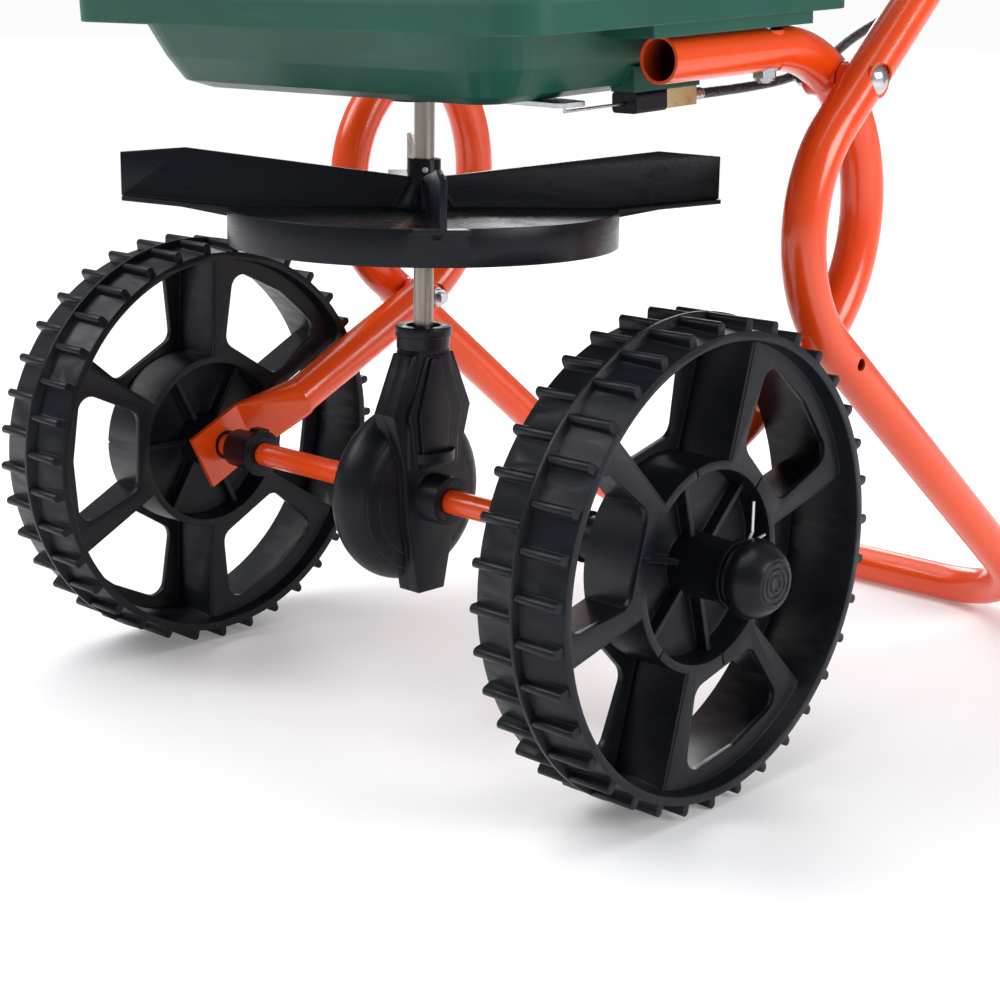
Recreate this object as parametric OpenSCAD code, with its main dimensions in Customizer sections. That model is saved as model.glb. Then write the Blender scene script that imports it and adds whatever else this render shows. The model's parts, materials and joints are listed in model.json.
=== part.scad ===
// Walk-behind broadcast spreader: two ground wheels turn an axle, bevel teeth in a gearbox turn the
// upright shaft, and the shaft carries the spinning impeller under the hopper.
// Working frame: X along the axle, -Y forward, +Z up, zero on the axle line at the upright shaft.
// Every node is then carried to a frame whose origin is the middle of the footprint on the ground.

/* [Wheels] */
// Diameter over the centre ridge of the tread
wheel_d = 228; // [224:2:232]
// Width of a wheel
wheel_w = 50; // [46:1:52]
// Cleats in each of the two rows
cleats = 35; // [30:1:36]
// Distance between the middles of the two wheels
track = 354; // [354:2:364]

/* [Frame] */
// Outside diameter of the frame tube
tube_d = 22; // [20:1:23]
// Wall of the frame tube
tube_wall = 1.6; // [1.4:0.1:2]
// Upward slope of the lower handle in degrees
handle_slope = 43; // [40:1:46]
// Downward slope of the stand legs in degrees
leg_slope = 38; // [36:1:40]
// Length of the lower handle tube above the upper crossing bolt
handle_lower = 250; // [220:10:280]
// Length of the upper handle below its bend
handle_upper = 150; // [120:10:180]
// Length of the upper handle above its bend
handle_reach = 240; // [220:10:280]

/* [Drive] */
// Diameter of the axle rod
axle_d = 12.6; // [12:0.2:13]
// Diameter of the upright shaft
shaft_d = 10; // [9:0.5:10.5]
// Diameter over the impeller blades
impeller_d = 302; // [290:2:310]
// Diameter of the impeller drum
drum_d = 193; // [186:1:200]

/* [Hopper] */
// Width of the hopper over its rim
rim_w = 430; // [410:10:450]
// Depth of the hopper over its rim, front to back
rim_l = 350; // [340:10:370]
// Height of the hopper from floor to rim
hopper_h = 250; // [230:10:270]
// Wall of the moulded hopper
hopper_wall = 3; // [2.5:0.5:3.5]
// Rise of the hopper seat towards the back in degrees
seat_pitch = 3.2; // [2:0.1:4]

/* [Hidden] */
$fn = 64;

// Colours
paint = "#f04a1c";
green = "#2a6b58";
black = "#1b1c20";
steel = "#b9babd";

// Wheels
ridge_r = wheel_d / 2;
face_r = ridge_r - 6;
cleat_r = ridge_r - 0.2;
rim_in = face_r - 4;
half_w = wheel_w / 2;
hub_r = 49;
cup_r = 45;
boss_end = 37.2;
web_h = 16.5;
sector = 45;
cleat_phase = 0.2;
wheel_bore = axle_d / 2 + 0.1;
mid_x = -8.2;
wheel_x = track / 2;
clip_x = wheel_x + boss_end - 1.3;
cap_x = wheel_x + boss_end + 0.8;
cap_l = 14.6;

// Frame planes are distances to each side of the middle plane mid_x
tube_r = tube_d / 2;
tube_in = tube_r - tube_wall;
rail_x = 139.5;
leg_x = rail_x + tube_d + 0.3;
eye_x = 149.2;
eye_t = 3;
low_cross = [145, 72];
top_cross = [149, 211];
bolt_r = 3;
flat = 8.6;
spot_r = 8;
core_r = 8.9;

// Stand and handle tube: a bulge of radius bulge_r joins the handle line to the leg line
bulge_r = 72;
bulge_turn = 180 - handle_slope - leg_slope;
handle_run = handle_lower + 29;
foot_z = tube_r - ridge_r;
foot_bend = 66;
arc_top = top_cross - 29 * [cos(handle_slope), sin(handle_slope)];
arc_mid = arc_top + bulge_r * [sin(handle_slope), -cos(handle_slope)];
arc_low = arc_mid - bulge_r * [sin(leg_slope), cos(leg_slope)];
leg_run = (arc_low[1] - foot_z) / sin(leg_slope) - foot_bend;
joint = top_cross + handle_lower * [cos(handle_slope), sin(handle_slope)];

// Upper handle: spigot, straight, bend, straight, corner, cross-bar
spigot = 45;
bend_r = 120;
top_slope = 60;
corner_r = 60;
bend_at = joint + handle_upper * [cos(handle_slope), sin(handle_slope)];
bend_end = bend_at + bend_r * [sin(top_slope) - sin(handle_slope), cos(handle_slope) - cos(top_slope)];
bar = bend_end + (handle_reach + corner_r) * [cos(top_slope), sin(top_slope)];
grip_l = 200;

// Hopper seat: a frame that rises to the back, zero on the hopper floor at the shaft
seat_z = 204;
rail_h = 16.2;
rail_y0 = 18.5;
rail_run = 83.3;
rail_turn_r = 81.7;
screw_y = 98;
function seat_yz(y, z) = [y * cos(seat_pitch) - z * sin(seat_pitch),
    seat_z + y * sin(seat_pitch) + z * cos(seat_pitch)];
rail_c = seat_yz(rail_y0 + rail_run, rail_h - rail_turn_r);
eye_run = sqrt(rail_c * rail_c - rail_turn_r * rail_turn_r);
eye_slope = atan2(rail_c[1], rail_c[0]) - atan(rail_turn_r / eye_run);
rail_turn = seat_pitch + 180 - eye_slope;
eye_gap = 48;

// Hopper plan sizes, from the seat frame: tub, ledge and rim
tub_x = 126;
tub_y = [-77, 130];
ledge_x = 158;
ledge_y = [-90, 150];
ledge_z = 33;
band_z = 44;
rim_y0 = -150;

// Outlets in the hopper floor and the shutter that covers them
outlet_pcd = 56;
outlet_r = 7;
outlets = [55, 90, 125];
hinge_r = 11.5;
shutter_rest = -8;
shutter_open = 16;
cable_x = 104;
wire_z = -5;
wire_y0 = cable_x * tan(shutter_rest);

// Cable route from the clamp to the lever bracket, in the seat frame's upright twin
cable_r = 2.5;
route = [[104, 76, 203.25], [104, 100, 204.6], [105, 125, 206.5], [106, 150, 209.5], [107, 178, 216],
    [108, 205, 229], [111, 240, 244], [116, 290, 273], [121, 345, 318], [126, 400, 378],
    [130, 440, 435], [132, 468, 488], [132, 488, 530], [132, 501, 562]];
route_steps = 4;

// Gears
crown_teeth = 36;
pinion_teeth = 9;
tooth_z = [29, 36];

// Lever on the right side of the upper handle, along and square to the tube
lever_u = 110;
lever_v = 34;
lever_rest = -50;
housing_w = 22;

// Middle of the whole length, measured from the shaft: hopper rim in front, hand grip behind
foot_mid = (bar[0] + tube_r + 4.5 + seat_yz(rim_y0, hopper_h)[0]) / 2;

function unit(v) = v / norm(v);
function catmull(a, b, c, d, t) = 0.5 * (2 * b + (c - a) * t + (2 * a - 5 * b + 4 * c - d) * t * t
    + (3 * b - a - 3 * c + d) * t * t * t);
function smooth(p, n) = [for (i = [0:len(p) - 2]) for (k = [0:n - 1])
    catmull(p[max(i - 1, 0)], p[i], p[i + 1], p[min(i + 2, len(p) - 1)], k / n), p[len(p) - 1]];

module placed() translate([-mid_x, -foot_mid, ridge_r]) children();
module seat() translate([0, 0, seat_z]) rotate([seat_pitch, 0, 0]) children();
module both() for (k = [0, 1]) translate([mid_x, 0, 0]) mirror([k, 0, 0]) children();

// Cylinder from point a to point b
module rod(a, b, r) {
    v = b - a;
    translate(a) rotate([0, acos(v[2] / norm(v)), atan2(v[1], v[0])]) cylinder(r = r, h = norm(v));
}

// Cylinder along X from x0 to x1 on the line through (y, z)
module across(x0, x1, p, r) translate([x0, p[0], p[1]]) rotate([0, 90, 0]) cylinder(r = r, h = x1 - x0);

// A run of tube along +Z: each step is [length, bend radius, bend angle, roll of the bend plane].
// Straight lengths are a hair slimmer than the bends, and their ends stand inside them.
module run(steps, r, i = 0) {
    if (i < len(steps)) {
        s = steps[i];
        z0 = i > 0 ? -1 : 0;
        translate([0, 0, z0]) cylinder(r = r - 0.05, h = s[0] - z0 + (s[2] > 0 ? 1 : 0));
        translate([0, 0, s[0]]) rotate([0, 0, s[3]]) {
            if (s[2] > 0)
                translate([s[1], 0, 0]) rotate([90, 0, 0])
                    rotate([0, 0, 180 - s[2]]) rotate_extrude(angle = s[2]) translate([s[1], 0]) circle(r = r);
            translate([s[1], 0, 0]) rotate([0, s[2], 0]) translate([-s[1], 0, 0])
                rotate([0, 0, -s[3]]) run(steps, r, i + 1);
        }
    }
}

module tube(steps) difference() {
    run(steps, tube_r);
    run(steps, tube_in);
}

// Outline of equal circles at the points, taken anticlockwise, with true arcs at the corners
module blob(pts, r) {
    n = len(pts);
    for (p = pts) translate(p) circle(r = r, $fn = 32);
    polygon([for (i = [0:n - 1]) for (e = [0, 1])
        let (a = pts[i], b = pts[(i + 1) % n], u = unit(b - a)) (e == 0 ? a : b) + r * [u[1], -u[0]]]);
}

// Revolve a profile drawn as [place along X, radius] about the X axis
module about_x() rotate([0, 90, 0]) rotate_extrude($fn = 128) mirror([1, -1]) children();

module dome_head(r, h) {
    big = (r * r + h * h) / (2 * h);
    intersection() {
        translate([0, 0, h - big]) sphere(r = big);
        cylinder(r = r, h = h);
    }
}

module hex_nut(r, h) difference() {
    union() {
        cylinder(r = r, h = h, $fn = 6);
        cylinder(r = r * 0.82, h = h + 1.6);
    }
    translate([0, 0, -1]) cylinder(r = bolt_r, h = h + 4);
}

// ---- Wheels ----

module rim_profile() polygon([[-half_w, rim_in], [-half_w, face_r], [-1.6, ridge_r - 4.4], [-0.9, ridge_r],
    [0.9, ridge_r], [1.6, ridge_r - 4.4], [half_w, face_r], [half_w, rim_in], [0, rim_in - 2]]);

module hub_profile() polygon([[-web_h, cup_r], [-web_h, hub_r], [web_h, hub_r], [web_h, cup_r],
    [3, cup_r - 1], [3, 15], [30.5, 13.8], [30.5, 16], [33, 16], [33, 13.5], [boss_end, 13.5],
    [boss_end, wheel_bore], [0.6 - half_w, wheel_bore], [0.6 - half_w, 13.5], [-3, 15], [-3, cup_r - 1]]);

module cleat_row(shift) for (k = [0:cleats - 1]) rotate((k + shift) * 360 / cleats) {
    translate([face_r - 3, -2.2]) square([cleat_r - face_r + 0.8, 4.4]);
    translate([cleat_r - 2.2, 0]) circle(r = 2.2, $fn = 24);
}

module web() difference() {
    intersection() {
        difference() {
            circle(r = rim_in + 1, $fn = 128);
            circle(r = hub_r - 1);
        }
        polygon([[0, 0], [130, -130 * tan(30)], [130, 130 * tan(30)]]);
    }
    blob([[60, -16], [84, -26], [87, 0], [84, 26], [60, 16]], 8);
}

module wheel(driven) difference() {
    union() {
        about_x() rim_profile();
        about_x() hub_profile();
        rotate([90, 0, 90]) {
            translate([0, 0, 1.5]) linear_extrude(half_w - 2.6) cleat_row(cleat_phase);
            translate([0, 0, 1.1 - half_w]) linear_extrude(half_w - 2.6) cleat_row(cleat_phase + 0.5);
            for (k = [0:2]) {
                translate([0, 0, web_h - 3.2]) linear_extrude(3.2) rotate(sector + 120 * k) web();
                translate([0, 0, -web_h]) linear_extrude(3.2) rotate(sector + 60 + 120 * k) web();
            }
            for (k = [0:5]) {
                rotate(sector - 30 + 60 * k) translate([hub_r - 2, -1.6, 0.5 - web_h])
                    cube([rim_in - hub_r + 3.2, 3.2, 2 * web_h - 1]);
                rotate(sector + 60 * k) translate([13.6, -1.4, -9]) cube([cup_r - 12.6, 2.8, 18]);
            }
        }
    }
    for (k = [0:5]) rotate([sector + 60 * k, 0, 0]) translate([web_h - 0.9, cup_r - 2, -0.7]) cube([3, 8, 1.4]);
    // the pin drives one wheel through a slot across its boss, and clears the shorter boss of the other
    if (driven) translate([boss_end - 2.6, -1.4, -20]) cube([6, 2.8, 40]);
    else across(boss_end - 2.8, boss_end + 5, [0, 0], 20);
}

module right_wheel() placed() color(black) translate([mid_x + wheel_x, 0, 0]) wheel(true);
module left_wheel() placed() color(black) translate([mid_x - wheel_x, 0, 0])
    rotate([-17, 0, 0]) rotate([0, 0, 180]) wheel(false);

module hub_cap() difference() {
    union() {
        cylinder(r = 18.2, h = 2);
        intersection() {
            sphere(r = 18.6);
            cylinder(r = 18.2, h = cap_l);
        }
        for (k = [0:2]) translate([0, 0, cap_l - 0.5]) difference() {
            cylinder(r = 4 + 3 * k, h = 1);
            translate([0, 0, -1]) cylinder(r = 3 + 3 * k, h = 3);
        }
    }
    translate([0, 0, -1]) cylinder(r = axle_d / 2, h = 8);
}

module hub_caps() placed() color(black) both() translate([cap_x, 0, 0]) rotate([0, 90, 0]) hub_cap();

// Split pin: loop below, shank through the axle, one leg standing up and one bent back
module retaining_clips() placed() color(steel) for (k = [-1, 1]) translate([mid_x + k * clip_x, 0, 0]) {
    translate([0, 0, -16.5]) cylinder(r = 1, h = 31.6, $fn = 24);
    translate([0, 2.6, -17]) rotate([0, 90, 0]) rotate_extrude() translate([2.6, 0]) circle(r = 0.8, $fn = 24);
    rod([0, 0.2, 14.6], [0, 3.6, 20], 0.7);
    translate([0, 3.6, 20]) sphere(r = 0.85, $fn = 24);
    rod([0, 3.6, 20], [0, 3.6, 34], 0.75);
    rod([0, 0.2, 14.6], [0, 13, 17], 0.7);
}

// ---- Axle group ----

module axle() placed() color(paint) translate([mid_x, 0, 0]) difference() {
    across(-cap_x - 7, cap_x + 7, [0, 0], axle_d / 2);
    for (k = [-1, 1]) translate([k * clip_x, 0, -20]) cylinder(r = 1, h = 40, $fn = 24);
}

module axle_collars() placed() color(black) both() difference() {
    union() {
        across(117, 140, [0, 0], 10.5);
        across(117.5, 121, [0, 0], 12.6);
        translate([124, 4, 2]) cube([10, 6, 9.4]);
    }
    across(110, 145, [0, 0], axle_d / 2);
}

module axle_bushings() placed() color(black) both() difference() {
    across(eye_x - 0.3, eye_x + eye_t + 0.2, [0, 0], 8.2);
    across(eye_x - 5, eye_x + 10, [0, 0], axle_d / 2 + 0.1);
}

module crown_gear() placed() color(steel) difference() {
    union() {
        across(-16.2, -10.2, [0, 0], 37);
        across(-22, -10.2, [0, 0], 13);
        for (k = [0:crown_teeth - 1]) rotate([k * 360 / crown_teeth, 0, 0]) translate([-10.3, 0, tooth_z[0]])
            linear_extrude(tooth_z[1] - tooth_z[0])
                polygon([[0, -1.12], [3.7, -0.6], [3.7, 0.6], [0, 1.12]]);
    }
    across(-30, 0, [0, 0], axle_d / 2);
}

// ---- Frame ----

// Solid sleeve across the tube at a bolt, with a flat on the side given by k
module bolt_core(k) across(k > 0 ? 0.4 - tube_r : -flat, k > 0 ? flat : tube_r - 0.4, [0, 0], core_r);

module bolt_cuts(k) {
    across(k > 0 ? -20 : -30, k > 0 ? 30 : 20, [0, 0], bolt_r + 0.2);
    if (k > 0) across(flat, 20, [0, 0], spot_r);
    else across(-20, -flat, [0, 0], spot_r);
}

// Slim sleeve of a drilled crossing with no bolt and no flats
module empty_core() across(-9.9, 9.9, [0, 0], 4.4);

handle_bolt = top_cross + (handle_lower - 22) * [cos(handle_slope), sin(handle_slope)];

module stand_handle_tube() placed() color(paint) difference() {
    union() {
        translate([mid_x + leg_x, joint[0], joint[1]]) rotate([90 + handle_slope, 0, 0])
            tube([[handle_run, bulge_r, bulge_turn, -90], [leg_run, foot_bend, 90, 180],
                [2 * (leg_x - foot_bend), foot_bend, 90, 180], [leg_run, bulge_r, bulge_turn, -90],
                [handle_run, 0, 0, 0]]);
        at_crossings(leg_x) bolt_core(1);
        translate([mid_x + leg_x, low_cross[0], low_cross[1]]) empty_core();
    }
    at_crossings(leg_x) bolt_cuts(1);
    translate([mid_x + leg_x, low_cross[0], low_cross[1]]) across(-20, 20, [0, 0], bolt_r + 0.2);
    both() across(leg_x - 20, leg_x + 20, handle_bolt, bolt_r);
}

// The low crossing of the right rail is drilled and has no bolt
module rail_tube(bolted) difference() {
    union() {
        seat() translate([rail_x, rail_y0, rail_h]) rotate([-90, 0, 0])
            tube([[rail_run, rail_turn_r, rail_turn, 90], [eye_run - eye_gap, 0, 0, 0]]);
        translate([rail_x, top_cross[0], top_cross[1]]) bolt_core(-1);
        translate([rail_x, low_cross[0], low_cross[1]]) if (bolted) bolt_core(-1); else empty_core();
        seat() translate([rail_x, screw_y, rail_h - flat]) cylinder(r = core_r, h = 2 * flat);
        eye_plate();
    }
    translate([rail_x, top_cross[0], top_cross[1]]) bolt_cuts(-1);
    translate([rail_x, low_cross[0], low_cross[1]]) if (bolted) bolt_cuts(-1);
        else across(-20, 20, [0, 0], bolt_r + 0.2);
    seat() translate([rail_x, screw_y, 0]) {
        cylinder(r = bolt_r + 0.2, h = 60, center = true);
        translate([0, 0, rail_h + flat]) cylinder(r = spot_r, h = 10);
        translate([0, 0, rail_h - flat - 10]) cylinder(r = spot_r, h = 10);
    }
    across(eye_x - 20, eye_x + 20, [0, 0], 8.2);
}

// Flattened, square-cut end of a rail tube with the oversize eye for the axle
module eye_plate() rotate([eye_slope, 0, 0]) {
    translate([eye_x, -19, -16]) cube([eye_t, 19 + 17, 32]);
    hull() {
        translate([eye_x, 16, -16]) cube([eye_t, 1, 32]);
        translate([rail_x, eye_gap, 0]) rotate([-90, 0, 0]) cylinder(r = tube_r + 0.7, h = 2, $fn = 40);
    }
}

module left_rail_tube() placed() color(paint) translate([mid_x, 0, 0]) mirror([1, 0, 0]) rail_tube(true);
module right_rail_tube() placed() color(paint) translate([mid_x, 0, 0]) rail_tube(false);

module upper_handle() placed() color(paint) difference() {
    translate([mid_x + leg_x, joint[0], joint[1]]) rotate([handle_slope - 90, 0, 0]) {
        tube([[handle_upper, bend_r, top_slope - handle_slope, -90], [handle_reach, corner_r, 90, 180],
            [2 * (leg_x - corner_r), corner_r, 90, 180], [handle_reach, bend_r, top_slope - handle_slope, -90],
            [handle_upper, 0, 0, 0]]);
        for (x = [0, -2 * leg_x]) translate([x, 0, 0]) difference() {
            union() {
                translate([0, 0, -spigot]) cylinder(r = tube_in - 0.05, h = spigot + 1);
                cylinder(r = tube_in + 0.8, h = 6);
            }
            translate([0, 0, -spigot - 1]) cylinder(r = tube_in - 1.4, h = spigot + 8);
        }
    }
    both() across(leg_x - 20, leg_x + 20, handle_bolt, bolt_r);
    on_handle() for (u = [-22, 22]) translate([leg_x - tube_r - 1, 0, lever_u + u]) rotate([0, 90, 0])
        cylinder(r = 2, h = 8);
}

module handle_grip() placed() color(black) difference() {
    across(mid_x - grip_l / 2, mid_x + grip_l / 2, bar, tube_r + 4.5);
    across(mid_x - grip_l, mid_x + grip_l, bar, tube_r);
}

// The bolts sit in both crossings of the left side and in the upper crossing of the right side
module at_crossings(x) {
    both() translate([x, top_cross[0], top_cross[1]]) children();
    translate([mid_x, 0, 0]) mirror([1, 0, 0]) translate([x, low_cross[0], low_cross[1]]) children();
}

module cross_bolts() placed() color(steel) at_crossings(leg_x + flat) rotate([0, 90, 0]) {
    dome_head(7.3, 3.2);
    translate([0, 0, -49]) cylinder(r = bolt_r, h = 49.5);
}

module cross_nuts() placed() color(steel) at_crossings(rail_x - flat) rotate([0, -90, 0]) hex_nut(6, 4.6);

module handle_bolts() placed() color(steel) both() translate([leg_x + tube_r, handle_bolt[0], handle_bolt[1]])
    rotate([0, 90, 0]) {
        dome_head(6.5, 3);
        translate([0, 0, -30]) cylinder(r = bolt_r, h = 30.5);
    }

module handle_nuts() placed() color(steel) both() translate([leg_x - tube_r, handle_bolt[0], handle_bolt[1]])
    rotate([0, -90, 0]) hex_nut(5.8, 4.4);

// ---- Hopper, in the seat frame ----

// Thin slab with rounded corners of radius r, half width x, from y[0] to y[1], at height z
module slab(x, y, r, z, t = 0.01) translate([mid_x, 0, z]) linear_extrude(t)
    blob([[-x + r, y[0] + r], [x - r, y[0] + r], [x - r, y[1] - r], [-x + r, y[1] - r]], r);

// Outer form of the hopper for w = 0, its inside for w = the wall
module hopper_form(w) {
    hull() {
        slab(tub_x - 26, tub_y + [26, -26], 12, w, 0.5);
        slab(tub_x - 14 - w, tub_y + [15 + w, -15 - w], 20, w + 4, 0.5);
        slab(tub_x - 6 - w, tub_y + [7 + w, -7 - w], 26, 16, 0.5);
        slab(tub_x - w, tub_y + [w, -w], 26, ledge_z + w, 2);
    }
    slab(ledge_x - w, ledge_y + [w, -w], 20, ledge_z + w, band_z - ledge_z - w + 2);
    hull() {
        slab(ledge_x - 0.5 - w, ledge_y + [w + 0.5, -w - 0.5], 20, band_z - 0.5, 0.5);
        slab(rim_w / 2 - 8 - w, [rim_y0 + 8 + w, rim_y0 + rim_l - 8 - w], 34, hopper_h - 0.5, w > 0 ? 2 : 0.5);
    }
}

module hopper() placed() color(green) seat() difference() {
    union() {
        hopper_form(0);
        slab(rim_w / 2, [rim_y0, rim_y0 + rim_l], 40, hopper_h - 9, 9);
        for (k = [-1, 1]) translate([mid_x + k * rail_x - 16, -4, rail_h + tube_r])
            cube([32, 118, ledge_z - rail_h - tube_r + 1]);
        translate([cable_x - 7, 26, 0.2]) cube([14, 48, 12]);
    }
    hopper_form(hopper_wall);
    cylinder(r = hinge_r - 0.5, h = 20, center = true);
    for (a = outlets) rotate(a) translate([outlet_pcd, 0, -5]) cylinder(r = outlet_r, h = 12);
    for (k = [-1, 1]) translate([mid_x + k * rail_x, screw_y, 20]) cylinder(r = bolt_r + 0.2, h = 30);
}

module hopper_screws() placed() color(steel) seat()
    for (k = [-1, 1]) translate([mid_x + k * rail_x, screw_y, ledge_z + hopper_wall]) {
        dome_head(7, 3);
        translate([0, 0, -36]) cylinder(r = bolt_r, h = 36.5);
    }

module hopper_nuts() placed() color(steel) seat()
    for (k = [-1, 1]) translate([mid_x + k * rail_x, screw_y, rail_h - flat]) rotate([180, 0, 0]) {
        difference() {
            cylinder(r = 7.6, h = 1.4);
            translate([0, 0, -1]) cylinder(r = bolt_r, h = 4);
        }
        translate([0, 0, 1.4]) hex_nut(6, 3.6);
    }

module floor_bushing() placed() color(black) difference() {
    seat() {
        translate([0, 0, hopper_wall]) cylinder(r = 17, h = 2.4);
        translate([0, 0, -3.2]) cylinder(r = hinge_r - 0.5, h = hopper_wall + 3.4);
        translate([0, 0, -5.4]) cylinder(r = 17, h = 2.4);
    }
    cylinder(r = shaft_d / 2 + 0.25, h = 400);
}

// ---- Shutter and cable, in the seat frame ----

module shutter() placed() color(steel) seat() rotate(shutter_rest) translate([0, 0, -2.6]) linear_extrude(2.1)
    difference() {
        union() {
            circle(r = 22);
            intersection() {
                circle(r = outlet_pcd + 12, $fn = 96);
                polygon([for (a = [38, 60, 90, 120, 145]) 90 * [cos(a), sin(a)], [0, 0]]);
            }
            blob([[0, -8], [108, -3], [108, 3], [0, 8]], 5);
        }
        circle(r = hinge_r);
        for (a = outlets) rotate(a - shutter_open - shutter_rest) translate([outlet_pcd, 0]) circle(r = outlet_r);
        translate([102.3, -1.15]) square([4.8, 2.3]);
    }

module inner_wire() placed() color(steel) seat() {
    rod([cable_x, wire_y0, wire_z], [cable_x, 46, wire_z], 0.7);
    translate([cable_x, wire_y0, wire_z]) sphere(r = 0.7);
    translate([cable_x, wire_y0, wire_z]) cylinder(r = 0.7, h = 4.6);
}

module cable_block() placed() color(black) seat() difference() {
    translate([cable_x, 38, wire_z]) rotate([90, 0, 0]) linear_extrude(22, center = true)
        blob([[-5.5, -2.5], [5.5, -2.5], [5.5, 3.2], [-5.5, 3.2]], 2);
    rod([cable_x, 20, wire_z], [cable_x, 60, wire_z], 1.1);
}

module cable_clamp() placed() color("#c8b070") seat() difference() {
    translate([cable_x - 6, 51, wire_z - 3.8]) cube([12, 22, 9]);
    rod([cable_x, 40, wire_z], [cable_x, 90, wire_z], cable_r + 0.7);
    translate([cable_x - 4, 54, wire_z - 6]) cube([8, 16, 6]);
}

module sweep(p, r, sides) {
    n = len(p);
    rings = [for (i = [0:n - 1])
        let (t = unit(p[min(i + 1, n - 1)] - p[max(i - 1, 0)]), u = unit(cross(t, [1, 0, 0])), v = cross(t, u))
        for (k = [0:sides - 1]) p[i] + r * (cos(k * 360 / sides) * u + sin(k * 360 / sides) * v)];
    walls = [for (i = [0:n - 2]) for (k = [0:sides - 1]) let (a = i * sides + k, b = i * sides + (k + 1) % sides)
        each [[a, b + sides, b], [a, a + sides, b + sides]]];
    polyhedron(points = rings, faces = concat(walls, [[for (k = [0:sides - 1]) k]],
        [[for (k = [sides - 1:-1:0]) (n - 1) * sides + k]]));
}

module cable_sheath() placed() color(black) {
    seat() difference() {
        rod([cable_x, 52, wire_z], [cable_x, 84, wire_z], cable_r + 0.7);
        rod([cable_x, 40, wire_z], [cable_x, 77, wire_z], 1.1);
    }
    sweep(smooth(route, route_steps), cable_r, 10);
}

// ---- Lever, on the right side of the upper handle ----

// Frame with Z along the upper handle, Y square to it and forward, zero at the end of the bend
module on_handle() translate([mid_x, bend_end[0], bend_end[1]]) rotate([top_slope - 90, 0, 0])
    mirror([0, 1, 0]) children();

housing_x = leg_x - tube_r - housing_w;
housing = [[-10, 66], [24, 66], [60, 88], [66, 124], [44, 144], [-10, 144]];

module lever_housing() placed() color(black) on_handle() difference() {
    translate([housing_x, 0, 0]) rotate([90, 0, 90]) linear_extrude(housing_w) blob(housing, 6);
    translate([housing_x + 2.5, 0, 0]) rotate([90, 0, 90]) linear_extrude(housing_w - 5) blob(housing, 3.5);
    translate([housing_x + 6, lever_v, lever_u]) rotate([90, 0, 90]) linear_extrude(8)
        polygon([[0, -10], for (a = [15, 45, 75, 100, 125]) 90 * [cos(a), sin(a)], [-10, 0]]);
    translate([housing_x - 5, lever_v, lever_u]) rotate([0, 90, 0]) cylinder(r = 4, h = 40);
    for (u = [-22, 22]) translate([housing_x + 10, 0, lever_u + u]) rotate([0, 90, 0]) cylinder(r = 2, h = 20);
    rod([housing_x + 11.5, -7, 40], [housing_x + 11.5, -7, 66], cable_r + 0.8);
}

module housing_screws() placed() color(steel) on_handle() for (u = [-22, 22])
    translate([leg_x - tube_r - 2.5, 0, lever_u + u]) rotate([0, -90, 0]) {
        dome_head(4.4, 2.2);
        translate([0, 0, -6.5]) cylinder(r = 2, h = 7);
    }

module control_lever() placed() color(black) on_handle() translate([housing_x + 7.5, lever_v, lever_u]) difference() {
    rotate([lever_rest, 0, 0]) {
        rotate([90, 0, 90]) linear_extrude(5)
            blob([[-4, -12], [4, -12], [5, 0], [2, 100], [-2, 100], [-5, 0]], 5);
        translate([2.5, 0, 110]) sphere(r = 13);
    }
    translate([-20, 0, 0]) rotate([0, 90, 0]) cylinder(r = 4.3, h = 40);
}

module lever_pivot() placed() color(steel) on_handle() translate([housing_x, lever_v, lever_u]) rotate([0, 90, 0]) {
    cylinder(r = 4, h = housing_w);
    translate([0, 0, housing_w]) cylinder(r = 6.5, h = 3.4, $fn = 6);
    rotate([180, 0, 0]) dome_head(7, 3);
}

// ---- Gearbox ----

module box_form() {
    about_x() {
        translate([-26, 0]) square([28.5, 32]);
        intersection() {
            translate([-12, 32]) circle(r = 14);
            translate([-30, 0]) square([32.5, 60]);
        }
    }
    rotate_extrude() polygon([[0, 17], [19, 17], [19, 45], [13, 76], [0, 76]]);
}

module box_hollow() {
    about_x() polygon([[-23.5, 0], [-23.5, 32], [-20.5, 39.5], [-12, 43.5], [-6, 41.8], [0, 37.6], [0, 0]]);
    rotate_extrude() polygon([[0, 19.5], [16.5, 19.5], [16.5, 44], [9, 64], [9, 80], [0, 80]]);
}

module box_flange() rotate([90, 0, 90]) linear_extrude(7)
    polygon([[14, 74], [27, 45], [19, 16], [17, -12], [9, -49.5], [-9, -49.5], [-17, -12], [-19, 16],
        [-27, 45], [-14, 74]]);

module box_shell() difference() {
    union() {
        box_form();
        box_flange();
        mirror([1, 0, 0]) box_flange();
        across(-30, 21, [0, 0], 12.5);
    }
    box_hollow();
    across(-40, 40, [0, 0], axle_d / 2 + 0.3);
    for (p = box_screws) across(-20, 5.5, p, 1.6);
}

box_screws = [[-22.5, 45], [22.5, 45], [0, -46.4]];

module gearbox_left() placed() color(black) intersection() {
    box_shell();
    translate([-60, -60, -60]) cube([60, 120, 160]);
}

module gearbox_right() placed() color(black) intersection() {
    box_shell();
    translate([0, -60, -60]) cube([60, 120, 160]);
}

module gearbox_screws() placed() color(steel) for (p = box_screws) translate([-7, p[0], p[1]]) rotate([0, -90, 0]) {
    dome_head(3.4, 2);
    translate([0, 0, -12.5]) cylinder(r = 1.6, h = 13);
}

module gearbox_collar() placed() color(black) difference() {
    union() {
        translate([0, 0, 66]) cylinder(r = 9, h = 11);
        translate([0, 0, 76]) cylinder(r = 13.4, h = 7);
        translate([0, 0, 82.5]) cylinder(r = 14.2, h = 5);
    }
    cylinder(r = shaft_d / 2 + 0.1, h = 120);
    translate([0, 0, 83.5]) cylinder(r = 8.5, h = 6);
}

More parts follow.
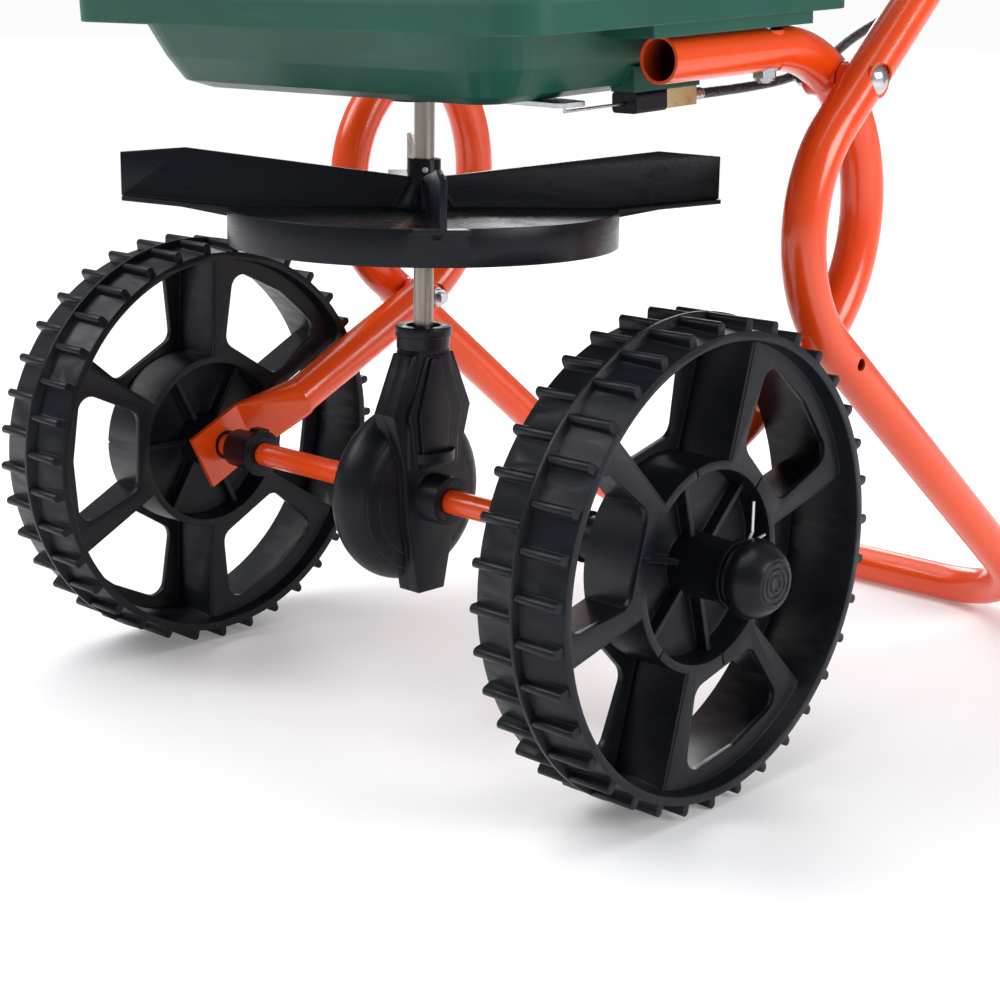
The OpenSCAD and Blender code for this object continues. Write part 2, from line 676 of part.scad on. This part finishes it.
module lower_bearing() placed() color(black) difference() {
    intersection() {
        translate([0, 0, 19.6]) cylinder(r = 16.4, h = 5);
        translate([-5.6, -20, 0]) cube([30, 40, 60]);
    }
    cylinder(r = 4.1, h = 60);
}

// ---- Impeller group ----

module impeller_shaft() placed() color(steel) difference() {
    union() {
        translate([0, 0, 20]) cylinder(r = 4, h = 40);
        translate([0, 0, 46]) cylinder(r = shaft_d / 2, h = 195);
    }
    rotate(spin) translate([0, 0, 165]) rotate([90, 0, 0]) cylinder(r = 1.5, h = 30, center = true);
    translate([0, 0, 224]) rotate([0, 90, 0]) cylinder(r = 2, h = 30, center = true);
}

// The blades stand at this angle at rest
spin = 48.8;
drum_z = 129;
drum_h = 17.5;

module blade() rotate([90, 0, 0]) {
    linear_extrude(3, center = true)
        polygon([[6, drum_z + 12], [drum_d / 2 - 3, drum_z + 12], [impeller_d / 2 - 4, drum_z + 22.4],
            [impeller_d / 2 - 4, drum_z + 43], [116, drum_z + 45.4], [6, drum_z + 32]]);
    translate([0, 0, -12]) linear_extrude(24)
        polygon([[drum_d / 2 - 6, drum_z + 15.2], [impeller_d / 2 - 5, drum_z + 20.8],
            [impeller_d / 2 - 5, drum_z + 22.8], [drum_d / 2 - 6, drum_z + 17.4]]);
}

module impeller() placed() color(black) rotate(spin) difference() {
    union() {
        translate([0, 0, drum_z]) difference() {
            cylinder(r = drum_d / 2, h = drum_h, $fn = 128);
            translate([0, 0, -1]) cylinder(r = drum_d / 2 - 2.4, h = drum_h - 1.4, $fn = 128);
        }
        for (k = [0:3]) rotate(90 * k) blade();
        translate([0, 0, drum_z + 4]) cylinder(r = 8.2, h = 37);
        translate([0, 0, drum_z + 15]) cylinder(r1 = 17, r2 = 8.2, h = 14);
    }
    translate([0, 0, 100]) cylinder(r = shaft_d / 2, h = 100);
    translate([0, 0, 165]) rotate([90, 0, 0]) cylinder(r = 1.5, h = 30, center = true);
}

module impeller_pin() placed() color(steel) rotate(spin) translate([0, 0, 165]) rotate([90, 0, 0])
    cylinder(r = 1.5, h = 18, center = true);

module pinion() placed() color(steel) difference() {
    union() {
        translate([0, 0, tooth_z[0]]) cylinder(r = 5.7, h = tooth_z[1] - tooth_z[0] + 4);
        for (k = [0:pinion_teeth - 1]) rotate(180 + 20 + 360 / pinion_teeth * k)
            translate([0, 0, tooth_z[0]]) linear_extrude(tooth_z[1] - tooth_z[0])
                polygon([[4.7, -1.2], [9.5, -0.65], [9.5, 0.65], [4.7, 1.2]]);
    }
    cylinder(r = 4, h = 60);
}

module agitator() placed() color(steel) translate([0, 0, 224]) {
    rotate([0, 90, 0]) cylinder(r = 2, h = 44, center = true);
    for (k = [-1, 1]) translate([k * 22, 0, -6]) cylinder(r = 2, h = 22);
}

stand_handle_tube();
left_rail_tube();
right_rail_tube();
upper_handle();
handle_grip();
cross_bolts();
cross_nuts();
handle_bolts();
handle_nuts();
hopper();
hopper_screws();
hopper_nuts();
floor_bushing();
cable_block();
cable_clamp();
cable_sheath();
lever_housing();
housing_screws();
gearbox_left();
gearbox_right();
gearbox_screws();
gearbox_collar();
lower_bearing();
axle_bushings();
axle();
axle_collars();
crown_gear();
hub_caps();
retaining_clips();
right_wheel();
left_wheel();
impeller_shaft();
impeller();
impeller_pin();
pinion();
agitator();
shutter();
inner_wire();
control_lever();
lever_pivot();
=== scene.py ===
"""Garden broadcast spreader: the looks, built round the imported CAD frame."""

import json
import math

import bmesh
import bpy
from mathutils import Matrix, Vector

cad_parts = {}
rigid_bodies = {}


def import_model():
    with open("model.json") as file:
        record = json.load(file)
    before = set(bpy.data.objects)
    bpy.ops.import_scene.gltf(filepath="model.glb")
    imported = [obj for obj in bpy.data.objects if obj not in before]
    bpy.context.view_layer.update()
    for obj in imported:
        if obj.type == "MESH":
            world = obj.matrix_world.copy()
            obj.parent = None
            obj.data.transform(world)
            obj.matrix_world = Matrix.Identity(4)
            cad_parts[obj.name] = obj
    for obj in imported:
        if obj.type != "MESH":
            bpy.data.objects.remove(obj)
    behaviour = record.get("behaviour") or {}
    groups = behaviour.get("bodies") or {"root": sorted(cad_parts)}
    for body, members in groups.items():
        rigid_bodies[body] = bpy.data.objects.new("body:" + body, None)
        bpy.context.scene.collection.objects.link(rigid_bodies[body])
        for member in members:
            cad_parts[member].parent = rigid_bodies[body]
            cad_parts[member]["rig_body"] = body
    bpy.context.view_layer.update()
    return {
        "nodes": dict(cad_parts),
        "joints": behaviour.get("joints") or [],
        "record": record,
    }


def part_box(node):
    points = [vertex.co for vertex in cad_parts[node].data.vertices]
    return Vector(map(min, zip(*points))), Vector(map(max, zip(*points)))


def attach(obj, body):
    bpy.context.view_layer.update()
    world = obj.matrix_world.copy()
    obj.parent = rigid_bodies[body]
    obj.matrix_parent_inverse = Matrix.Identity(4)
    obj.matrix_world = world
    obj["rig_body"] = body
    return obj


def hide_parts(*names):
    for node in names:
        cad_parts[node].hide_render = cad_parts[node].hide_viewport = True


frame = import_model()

slot_of = {part["node"]: part["material_slot"] for part in frame["record"]["subparts"]}


def pivot(name):
    return Vector(next(joint["pos_m"] for joint in frame["joints"] if joint["name"] == name))


# Where the impeller's upright shaft meets the axle
SHAFT = Vector((pivot("impeller_spin").x, pivot("axle_spin").y, pivot("axle_spin").z))


# ---- Materials ----


class Shader:
    """One procedural material, built node by node."""

    def __init__(self, name):
        self.mat = bpy.data.materials.new(name)
        self.mat.use_nodes = True
        self.tree = self.mat.node_tree
        self.out = self.tree.nodes["Principled BSDF"]
        self.place = self.add("ShaderNodeTexCoord").outputs["Object"]

    def add(self, kind, **inputs):
        node = self.tree.nodes.new(kind)
        for key, value in inputs.items():
            self.put(node.inputs[key.replace("_", " ")], value)
        return node

    def put(self, socket, value):
        if isinstance(value, bpy.types.NodeSocket):
            self.tree.links.new(value, socket)
        else:
            socket.default_value = value

    def surface(self, **inputs):
        for key, value in inputs.items():
            self.put(self.out.inputs[key.replace("_", " ")], value)

    def stretched(self, scale):
        node = self.add("ShaderNodeMapping", Vector=self.place, Scale=scale)
        return node.outputs["Vector"]

    def noise(self, scale, detail=3.0, where=None, distortion=0.0):
        node = self.add("ShaderNodeTexNoise", Vector=where or self.place, Scale=scale, Detail=detail,
                        Distortion=distortion)
        return node.outputs["Fac"]

    def cells(self, scale, feature="F1", output="Distance"):
        node = self.add("ShaderNodeTexVoronoi", Vector=self.place, Scale=scale)
        node.feature = feature
        return node.outputs[output]

    def span(self, value, low, high, to_low=0.0, to_high=1.0):
        """The value with low..high spread over to_low..to_high, and held beyond them."""
        node = self.add("ShaderNodeMapRange", Value=value, From_Min=low, From_Max=high,
                        To_Min=to_low, To_Max=to_high)
        return node.outputs["Result"]

    def maths(self, kind, a, b):
        node = self.tree.nodes.new("ShaderNodeMath")
        node.operation = kind
        self.put(node.inputs[0], a)
        self.put(node.inputs[1], b)
        return node.outputs[0]

    def mix(self, amount, a, b):
        node = self.tree.nodes.new("ShaderNodeMix")
        node.data_type = "RGBA"
        self.put(node.inputs[0], amount)
        self.put(node.inputs[6], a)
        self.put(node.inputs[7], b)
        return node.outputs[2]

    def rounded(self, radius):
        """The surface's normal with its edges rounded by radius."""
        node = self.add("ShaderNodeBevel", Radius=radius)
        node.samples = 4
        return node.outputs["Normal"]

    def edges(self, radius):
        """1 on the edges, 0 on the flats between them."""
        dot = self.tree.nodes.new("ShaderNodeVectorMath")
        dot.operation = "DOT_PRODUCT"
        self.put(dot.inputs[0], self.rounded(radius))
        self.put(dot.inputs[1], self.add("ShaderNodeNewGeometry").outputs["Normal"])
        return self.span(dot.outputs["Value"], 0.86, 0.995, 1.0, 0.0)

    def open_to_air(self, reach):
        """1 in the open, less where the object's own surfaces stand round within reach."""
        node = self.add("ShaderNodeAmbientOcclusion", Distance=reach)
        node.only_local = True
        return node.outputs["AO"]

    def relief(self, radius, *layers):
        """Rounds the edges by radius, then adds bumps, each (height, strength, depth)."""
        normal = self.rounded(radius)
        for height, strength, depth in layers:
            bump = self.add("ShaderNodeBump", Height=height, Strength=strength, Distance=depth, Normal=normal)
            normal = bump.outputs["Normal"]
        self.surface(Normal=normal)


def rgb(r, g, b):
    return (r, g, b, 1.0)


def frame_paint():
    """Orange powder coat, chipped at sharp edges, with shade painted dark into the insides of the tubes."""
    s = Shader("orange_powder_coat")
    drift = s.noise(9.0, 4.0)
    fine = s.noise(60.0, 6.0)
    colour = s.mix(s.span(drift, 0.3, 0.7), rgb(0.82, 0.062, 0.004), rgb(0.90, 0.082, 0.007))
    scuffs = s.span(s.noise(34.0, 9.0), 0.67, 0.76)
    colour = s.mix(s.maths("MULTIPLY", scuffs, 0.25), colour, rgb(0.66, 0.060, 0.020))
    chips = s.maths("MULTIPLY", s.edges(0.0009), s.span(s.noise(240.0, 5.0), 0.60, 0.66))
    colour = s.mix(chips, colour, rgb(0.34, 0.31, 0.29))
    # painted shade: the colour goes near black where the tube's own walls close round, inside the open tube
    # ends
    painted_tube_shade = s.span(s.open_to_air(0.035), 0.12, 0.62, 1.0, 0.0)
    colour = s.mix(painted_tube_shade, colour, rgb(0.022, 0.006, 0.004))
    rough = s.maths("ADD", s.span(fine, 0.2, 0.8, 0.17, 0.27), s.maths("MULTIPLY", scuffs, 0.12))
    s.surface(Base_Color=colour, Roughness=rough, IOR=1.52, Coat_Weight=0.22, Coat_Roughness=0.10)
    s.relief(0.0007, (s.noise(620.0, 2.0), 0.10, 0.0004), (s.noise(48.0, 3.0), 0.10, 0.0010))
    return s.mat


def moulded_black(name, gloss=0.0):
    """Blue-black plastic with a fine mould grain, paler at the edges: partly rubbed wear, partly a painted
    edge highlight.
    """
    s = Shader(name)
    cloud = s.noise(14.0, 5.0)
    flow = s.noise(30.0, 4.0, s.stretched((1, 1, 5)), 1.2)
    colour = s.mix(s.span(cloud, 0.3, 0.7), rgb(0.0040, 0.0046, 0.0078), rgb(0.0075, 0.0085, 0.0135))
    # pale edges: part rubbed wear, part painted highlight along the edges
    pale_edges = s.maths("MULTIPLY", s.edges(0.0011), s.span(s.noise(90.0, 6.0), 0.35, 0.75))
    colour = s.mix(s.maths("MULTIPLY", pale_edges, 0.5), colour, rgb(0.036, 0.038, 0.050))
    dust = s.span(s.noise(52.0, 9.0), 0.62, 0.82, 0.0, 0.03)
    colour = s.mix(dust, colour, rgb(0.16, 0.145, 0.12))
    rough = s.maths("ADD", s.span(flow, 0.25, 0.75, 0.27 - gloss, 0.43 - gloss), dust)
    s.surface(Base_Color=colour, Roughness=rough, IOR=1.50, Specular_IOR_Level=0.22)
    s.relief(0.0008, (s.noise(1500.0, 2.0), 0.20, 0.0002), (s.cells(700.0), 0.07, 0.0003),
             (cloud, 0.10, 0.003))
    return s.mat


def hopper_green():
    """Green plastic with flow marks and a leathery mould grain."""
    s = Shader("green_hopper_plastic")
    cloud = s.noise(7.0, 5.0, distortion=0.8)
    colour = s.mix(s.span(cloud, 0.3, 0.7), rgb(0.0076, 0.067, 0.046), rgb(0.0132, 0.093, 0.066))
    flow = s.noise(5.0, 3.0, s.stretched((1, 1, 6)), 2.0)
    colour = s.mix(s.span(flow, 0.60, 0.70, 0.0, 0.25), colour, rgb(0.024, 0.124, 0.091))
    pale_edges = s.maths("MULTIPLY", s.edges(0.0016), s.span(s.noise(70.0, 6.0), 0.40, 0.75))
    colour = s.mix(s.maths("MULTIPLY", pale_edges, 0.5), colour, rgb(0.10, 0.29, 0.23))
    rough = s.span(s.noise(40.0, 6.0), 0.2, 0.8, 0.30, 0.42)
    s.surface(Base_Color=colour, Roughness=rough, IOR=1.50, Specular_IOR_Level=0.32)
    s.relief(0.0014, (s.cells(620.0, "SMOOTH_F1"), 0.22, 0.0003), (s.noise(1100.0, 2.0), 0.12, 0.0002),
             (s.noise(12.0, 3.0), 0.16, 0.004))
    return s.mat


def bright_zinc():
    """Zinc plate with spangles, drawn lines and handling marks."""
    s = Shader("bright_zinc")
    spangle = s.cells(260.0, output="Color")
    colour = s.mix(s.span(spangle, 0.1, 0.9, 0.3, 0.8), rgb(0.45, 0.46, 0.49), rgb(0.62, 0.63, 0.65))
    marks = s.span(s.noise(130.0, 8.0), 0.64, 0.76)
    colour = s.mix(s.maths("MULTIPLY", marks, 0.3), colour, rgb(0.28, 0.28, 0.29))
    drawn = s.noise(300.0, 3.0, s.stretched((3, 3, 0.2)))
    rough = s.maths("ADD", s.span(drawn, 0.2, 0.8, 0.16, 0.32), s.maths("MULTIPLY", marks, 0.14))
    s.surface(Base_Color=colour, Metallic=1.0, Roughness=rough, Anisotropic=0.25)
    s.relief(0.0004, (drawn, 0.10, 0.0002), (s.noise(900.0, 3.0), 0.08, 0.0001))
    return s.mat


def drawn_steel():
    """Brownish steel bar with lines along its length and a few stains."""
    s = Shader("drawn_steel")
    lines = s.noise(420.0, 4.0, s.stretched((1, 1, 0.03)))
    colour = s.mix(s.span(lines, 0.3, 0.7), rgb(0.25, 0.215, 0.185), rgb(0.38, 0.345, 0.31))
    stains = s.span(s.noise(75.0, 7.0), 0.56, 0.72, 0.0, 0.35)
    colour = s.mix(stains, colour, rgb(0.17, 0.14, 0.115))
    s.surface(Base_Color=colour, Metallic=1.0, Roughness=s.span(lines, 0.2, 0.8, 0.24, 0.38))
    s.relief(0.0004, (lines, 0.12, 0.0002))
    return s.mat


def yellow_zinc():
    """Passivated zinc with the film's gold, green and pink."""
    s = Shader("yellow_zinc")
    film = s.noise(85.0, 4.0, distortion=1.5)
    colour = s.mix(s.span(film, 0.35, 0.6), rgb(0.68, 0.52, 0.24), rgb(0.56, 0.60, 0.36))
    colour = s.mix(s.span(film, 0.58, 0.7, 0.0, 0.6), colour, rgb(0.62, 0.36, 0.36))
    s.surface(Base_Color=colour, Metallic=1.0, Roughness=s.span(s.noise(220.0, 5.0), 0.2, 0.8, 0.22, 0.40))
    s.relief(0.0005, (s.noise(700.0, 4.0), 0.14, 0.0002))
    return s.mat


def greased_metal():
    """Cast metal with patches of brown grease."""
    s = Shader("greased_cast_metal")
    grease = s.span(s.noise(95.0, 4.0, distortion=1.0), 0.47, 0.56)
    colour = s.mix(grease, rgb(0.33, 0.32, 0.31), rgb(0.17, 0.115, 0.035))
    s.surface(Base_Color=colour, Metallic=s.span(grease, 0, 1, 1.0, 0.15),
              Roughness=s.span(grease, 0, 1, 0.46, 0.14))
    s.relief(0.0004, (s.noise(800.0, 5.0), 0.30, 0.0003), (grease, 0.40, 0.0006))
    return s.mat


def foam_rubber():
    """Matt black foam with open pores."""
    s = Shader("foam_rubber")
    pores = s.cells(900.0)
    colour = s.mix(s.span(pores, 0.0, 0.5), rgb(0.006, 0.006, 0.007), rgb(0.030, 0.030, 0.033))
    s.surface(Base_Color=colour, Roughness=s.span(s.noise(55.0, 5.0), 0.2, 0.8, 0.78, 0.95),
              Sheen_Weight=0.35, Sheen_Roughness=0.5)
    s.relief(0.0012, (pores, 0.75, 0.0004), (s.noise(35.0, 4.0), 0.25, 0.0015))
    return s.mat


def cable_cover():
    """Black cover with a braid showing through."""
    s = Shader("cable_cover")
    braid = s.cells(520.0)
    colour = s.mix(s.span(braid, 0.10, 0.55, 1.0, 0.0), rgb(0.006, 0.006, 0.008), rgb(0.060, 0.062, 0.070))
    s.surface(Base_Color=colour, Roughness=s.span(s.noise(120.0, 5.0), 0.2, 0.8, 0.26, 0.44), IOR=1.5)
    s.relief(0.0003, (braid, 0.60, 0.0004), (s.noise(900.0, 3.0), 0.15, 0.0002))
    return s.mat


slot_looks = {
    "frame_paint": frame_paint(),
    "black_plastic": moulded_black("moulded_black"),
    "hopper_plastic": hopper_green(),
    "zinc_steel": bright_zinc(),
    "yellow_zinc": yellow_zinc(),
    "gear_metal": greased_metal(),
    "foam": foam_rubber(),
    "cable_cover": cable_cover(),
}

# Nodes that look different from the rest of their slot
polished = moulded_black("moulded_black_gloss", 0.07)
node_looks = {"hub_caps": polished, "impeller": polished, "impeller_shaft": drawn_steel()}


def look_of(node):
    return node_looks.get(node) or slot_looks[slot_of[node]]


# ---- Making meshes and pieces ----


def link(name, data):
    obj = bpy.data.objects.new(name, data)
    bpy.context.scene.collection.objects.link(obj)
    return obj


def mesh_of(bm, name):
    mesh = bpy.data.meshes.new(name)
    bm.to_mesh(mesh)
    bm.free()
    return mesh


def shade(mesh, angle):
    """Smooth shading with a crease wherever two faces meet at more than angle degrees."""
    mesh.shade_smooth()
    mesh.set_sharp_from_angle(angle=math.radians(angle))


def round_edges(bm, edges, width, segments):
    bmesh.ops.bevel(bm, geom=edges, offset=width, offset_type="OFFSET", segments=segments, profile=0.5,
                    affect="EDGES", clamp_overlap=True, harden_normals=False)


def stand_for(piece, node):
    """The piece takes the place of a CAD node, on its body and with its material."""
    piece.data.materials.clear()
    piece.data.materials.append(look_of(node))
    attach(piece, frame["nodes"][node]["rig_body"])
    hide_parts(node)


def fixed_detail(piece, slot):
    """The piece stands for no CAD node, and is fixed to the chassis."""
    piece.data.materials.append(slot_looks[slot])
    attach(piece, "chassis")


def moulded(node, width):
    """The node's own shape with its flats merged and every sharp edge rounded to width."""
    weld, flat, sharp, shortest = 2e-6, math.radians(0.8), math.radians(24), 1e-5
    bm = bmesh.new()
    bm.from_mesh(frame["nodes"][node].data)
    bmesh.ops.remove_doubles(bm, verts=bm.verts, dist=weld)
    bmesh.ops.dissolve_limit(bm, angle_limit=flat, verts=bm.verts, edges=bm.edges,
                             use_dissolve_boundaries=False)
    corners = [e for e in bm.edges if len(e.link_faces) == 2 and e.calc_face_angle(0) > sharp
               and e.calc_length() > shortest]
    round_edges(bm, corners, width, 2)
    mesh = mesh_of(bm, node + "_form")
    shade(mesh, 34)
    stand_for(link(node + "_form", mesh), node)


def swept(name, points, radii, sides):
    """A closed round form along points, with a radius for each point."""
    bm = bmesh.new()
    rings = []
    side = Vector((0, 0.6, -0.8))
    for i, p in enumerate(points):
        along = (points[min(i + 1, len(points) - 1)] - points[max(i - 1, 0)]).normalized()
        side = (side - along * side.dot(along)).normalized()
        other = along.cross(side)
        rings.append([bm.verts.new(p + radii[i] * (math.cos(t) * side + math.sin(t) * other))
                      for t in (2 * math.pi * k / sides for k in range(sides))])
    for a, b in zip(rings, rings[1:]):
        for k in range(sides):
            bm.faces.new((a[k], a[(k + 1) % sides], b[(k + 1) % sides], b[k]))
    bm.faces.new(list(reversed(rings[0])))
    bm.faces.new(rings[-1])
    bmesh.ops.recalc_face_normals(bm, faces=bm.faces)
    mesh = mesh_of(bm, name)
    shade(mesh, 48)
    return link(name, mesh)


def catmull(points, steps):
    """A smooth curve through the points."""
    made = []
    for i in range(len(points) - 1):
        a, b, c, d = points[max(i - 1, 0)], points[i], points[i + 1], points[min(i + 2, len(points) - 1)]
        for k in range(steps):
            t = k / steps
            made.append(0.5 * (2 * b + (c - a) * t + (2 * a - 5 * b + 4 * c - d) * t * t
                               + (3 * b - a - 3 * c + d) * t ** 3))
    return made + [points[-1]]


def plate(name, x0, x1, outline):
    """A flat piece across X from x0 to x1. Its outline is in Y and Z. All are measured from SHAFT."""
    bm = bmesh.new()
    low = [bm.verts.new(SHAFT + Vector((x0, y, z))) for y, z in outline]
    high = [bm.verts.new(SHAFT + Vector((x1, y, z))) for y, z in outline]
    n = len(outline)
    bm.faces.new(low)
    bm.faces.new(list(reversed(high)))
    for k in range(n):
        bm.faces.new((low[k], high[k], high[(k + 1) % n], low[(k + 1) % n]))
    bmesh.ops.recalc_face_normals(bm, faces=bm.faces)
    round_edges(bm, bm.edges[:], 0.0007, 3)
    mesh = mesh_of(bm, name)
    shade(mesh, 40)
    fixed_detail(link(name, mesh), "black_plastic")


# ---- Pieces ----


def gearbox_neck():
    """The right shell's neck is nearly flat, with the edges of two stepped plates on it."""
    neck_foot = SHAFT.z + 0.0155
    face = SHAFT.x + 0.0085
    bulge_kept = 0.08
    for v in bpy.data.objects["gearbox_right_form"].data.vertices:
        if v.co.z > neck_foot and v.co.x > face:
            v.co.x = face + bulge_kept * (v.co.x - face)
    plate("gearbox_step_wide", 0.0060, 0.0098,
          [(0.007, 0.0735), (0.0185, 0.045), (0.0135, 0.0165),
           (-0.0135, 0.0165), (-0.0185, 0.045), (-0.007, 0.0735)])
    plate("gearbox_step_narrow", 0.0088, 0.0118,
          [(0.001, 0.0725), (0.0085, 0.045), (0.0060, 0.018),
           (-0.0100, 0.018), (-0.0130, 0.045), (-0.005, 0.0725)])


def hand_grip():
    """A foam sleeve with soft ends and shallow finger waves."""
    steps = 120
    wave_pitch, wave_depth = 0.025, 0.00035
    end_length, end_drop = 0.004, 0.0035
    low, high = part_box("handle_grip")
    middle = (low + high) / 2
    radius = (high.z - low.z) / 2
    points, radii = [], []
    for i in range(steps + 1):
        x = low.x + (high.x - low.x) * i / steps
        end = min(x - low.x, high.x - x)
        wave = wave_depth * (1 - math.cos(2 * math.pi * (x - low.x) / wave_pitch)) / 2
        soft = end_drop * (1 - min(1.0, end / end_length)) ** 2
        points.append(Vector((x, middle.y, middle.z)))
        radii.append(radius - wave - soft)
    stand_for(swept("foam_grip", points, radii, 40), "handle_grip")


def control_cable():
    """The cable's cover, along its route in millimetres."""
    radius = 0.0025
    route = ((112.2, -156.7, 317.25), (112.2, -132.7, 318.6), (113.2, -107.7, 320.5), (114.2, -82.7, 323.5),
             (115.2, -54.7, 330.0), (116.2, -27.7, 343.0), (119.2, 7.3, 358.0), (124.2, 57.3, 387.0),
             (129.2, 112.3, 432.0), (134.2, 167.3, 492.0), (138.2, 207.3, 549.0), (140.2, 235.3, 602.0),
             (140.2, 255.3, 644.0), (140.2, 268.3, 676.0))
    points = catmull([Vector(p) / 1000 for p in route], 12)
    stand_for(swept("control_cable", points, [radius] * len(points), 20), "cable_sheath")


def cable_ferrule():
    """The ferrule on the cable cover's lower end, with two swaged grooves and a chamfer at each end."""
    front = Vector((0.1122, -0.1805, 0.3159))
    back = Vector((0.1122, -0.1486, 0.3177))
    radius, groove, chamfer = 0.0032, 0.0005, 0.0006
    steps = 32
    grooved = (*range(9, 13), *range(19, 23))
    points = [front.lerp(back, i / steps) for i in range(steps + 1)]
    radii = [radius - groove * (i in grooved) - chamfer * (i in (0, steps)) for i in range(steps + 1)]
    fixed_detail(swept("cable_ferrule", points, radii, 20), "zinc_steel")


edge_radius = {
    "left_wheel": 0.0006, "right_wheel": 0.0006, "impeller": 0.0005, "gearbox_left": 0.0006,
    "gearbox_right": 0.0006, "gearbox_collar": 0.0006, "hub_caps": 0.0003, "axle_collars": 0.0005,
}
for name, radius in edge_radius.items():
    moulded(name, radius)
gearbox_neck()
hand_grip()
control_cable()
cable_ferrule()

replaced = set(edge_radius) | {"handle_grip", "cable_sheath"}
for name, node in frame["nodes"].items():
    if name not in replaced:
        node.data.materials.clear()
        node.data.materials.append(look_of(name))


# ---- Floor, light and camera ----


def pale_floor():
    """Pale near the object, and fading into the white background beyond it."""
    s = Shader("pale_floor")
    far = s.add("ShaderNodeVectorMath", Vector=s.place)
    far.operation = "LENGTH"
    fade_start, fade_end = 0.9, 3.2
    fade = s.span(far.outputs["Value"], fade_start, fade_end)
    glow = s.span(far.outputs["Value"], fade_start, fade_end, 0.17, 1.0)
    tone = s.mix(s.span(s.noise(3.0, 4.0), 0.3, 0.7), rgb(0.80, 0.80, 0.81), rgb(0.83, 0.83, 0.84))
    s.surface(Base_Color=s.mix(fade, tone, rgb(0, 0, 0)), Roughness=0.6,
              Emission_Color=rgb(0.97, 0.97, 0.975), Emission_Strength=glow, Specular_IOR_Level=0.2)
    grain = s.add("ShaderNodeBump", Height=s.noise(160.0, 4.0), Strength=0.03, Distance=0.001)
    s.surface(Normal=grain.outputs["Normal"])
    return s.mat


def studio_floor():
    """A flat floor, round in plan, just under the object."""
    bm = bmesh.new()
    bmesh.ops.create_circle(bm, cap_ends=True, segments=96, radius=14.0)
    mesh = mesh_of(bm, "studio_floor")
    mesh.materials.append(pale_floor())
    floor = link("studio_floor", mesh)
    floor.location.z = -0.0002


def studio_light(data, place, aim):
    light = link(data.name, data)
    light.location = place
    light.rotation_mode = "QUATERNION"
    light.rotation_quaternion = (Vector(aim) - Vector(place)).to_track_quat("-Z", "Y")


def area_light(name, place, size, power):
    data = bpy.data.lights.new(name, "AREA")
    data.shape = "RECTANGLE"
    data.size, data.size_y = size
    data.energy = power
    studio_light(data, place, (0.0, -0.15, 0.25))


def soft_sun(name, place, power, spread):
    data = bpy.data.lights.new(name, "SUN")
    data.energy = power
    data.angle = math.radians(spread)
    studio_light(data, place, (0, 0, 0))


def studio_world():
    """Dim for the light it gives, and white where the camera sees it."""
    world = bpy.data.worlds.new("studio")
    world.use_nodes = True
    nodes, links = world.node_tree.nodes, world.node_tree.links
    dim = nodes["Background"]
    dim.inputs["Color"].default_value = rgb(0.93, 0.96, 1.0)
    dim.inputs["Strength"].default_value = 0.30
    white = nodes.new("ShaderNodeBackground")
    white.inputs["Color"].default_value = rgb(0.97, 0.97, 0.975)
    either = nodes.new("ShaderNodeMixShader")
    links.new(nodes.new("ShaderNodeLightPath").outputs["Is Camera Ray"], either.inputs[0])
    links.new(dim.outputs[0], either.inputs[1])
    links.new(white.outputs[0], either.inputs[2])
    links.new(either.outputs[0], nodes["World Output"].inputs["Surface"])
    bpy.context.scene.world = world


def photo_camera():
    """At the photograph's viewing angle."""
    place = (0.7199, -0.9302, 0.3647)
    azimuth, elevation, roll = math.radians(43.293), math.radians(14.258), math.radians(0.881)
    back = Vector((math.sin(azimuth) * math.cos(elevation), -math.cos(azimuth) * math.cos(elevation),
                   math.sin(elevation)))
    level = Vector((math.cos(azimuth), math.sin(azimuth), 0))
    right = level * math.cos(roll) + back.cross(level) * math.sin(roll)
    up = back.cross(right)
    data = bpy.data.cameras.new("photo_camera")
    data.lens = 72.3
    data.sensor_width = 36.0
    data.clip_start, data.clip_end = 0.05, 60.0
    cam = link("photo_camera", data)
    cam.matrix_world = Matrix.Translation(place) @ Matrix((right, up, back)).transposed().to_4x4()
    bpy.context.scene.camera = cam


studio_floor()
photo_camera()
soft_sun("soft_top", (-0.5, -0.5, 1.6), 1.9, 70)
area_light("overhead", (-0.3, -0.5, 2.7), (2.2, 2.2), 22.0)
area_light("key", (-1.5, -1.5, 1.9), (0.7, 1.2), 14.0)
area_light("right_fill", (2.2, 0.3, 1.1), (1.3, 0.9), 30.0)
area_light("back_rim", (-1.5, 1.7, 1.2), (1.0, 1.4), 20.0)
studio_world()
bpy.context.scene.view_settings.view_transform = "Standard"
